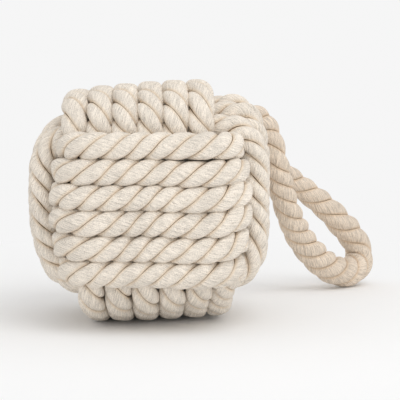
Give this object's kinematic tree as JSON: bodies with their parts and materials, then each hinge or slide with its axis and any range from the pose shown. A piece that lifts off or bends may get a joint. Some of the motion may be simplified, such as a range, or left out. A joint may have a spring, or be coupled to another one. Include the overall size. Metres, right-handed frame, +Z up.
{
  "type": "rope knot doorstop",
  "caption": "Heavy cube-shaped ball knotted from thick twisted cotton rope round a weighted pouch, with a rope carrying loop that hangs from one top corner.",
  "frame": {"origin": "on the floor under the middle of the knotted ball, the carrying loop left out", "axes": "+Z up; -Y is the face with six level turns, +X to its right; the loop leaves the +X +Y +Z corner"},
  "size_m": [0.2383, 0.2278, 0.1489],
  "materials": {
    "cotton_rope": "natural cream cotton, three strands, soft and matt",
    "loop_rope": "natural cotton, a little tanner and laid more loosely",
    "pouch_cloth": "plain unbleached calico",
    "sand": "dry sand",
    "twine": "thin cotton twine"
  },
  "bodies": {
    "knot": {"top_turn_1": "cotton_rope", "top_turn_2": "cotton_rope", "top_turn_3": "cotton_rope", "top_turn_4": "cotton_rope", "top_turn_5": "cotton_rope", "top_turn_6": "cotton_rope", "side_turn_1": "cotton_rope", "side_turn_2": "cotton_rope", "side_turn_3": "cotton_rope", "side_turn_4": "cotton_rope", "side_turn_5": "cotton_rope", "side_turn_6": "cotton_rope", "front_turn_1": "cotton_rope", "front_turn_2": "cotton_rope", "front_turn_3": "cotton_rope", "front_turn_4": "cotton_rope", "front_turn_5": "cotton_rope", "front_turn_6": "cotton_rope", "pouch": "pouch_cloth", "filling": "sand", "neck_tie": "twine", "loop_root": "loop_rope"},
    "loop": {"carry_loop": "loop_rope"}
  },
  "joints": [
    {"name": "loop_swing", "type": "hinge", "parent": "knot", "child": "loop", "pos_m": [0.0525, 0.055, 0.1232], "axis": [0.6097, -0.7926, 0], "range_deg": [0, 110]}
  ]
}
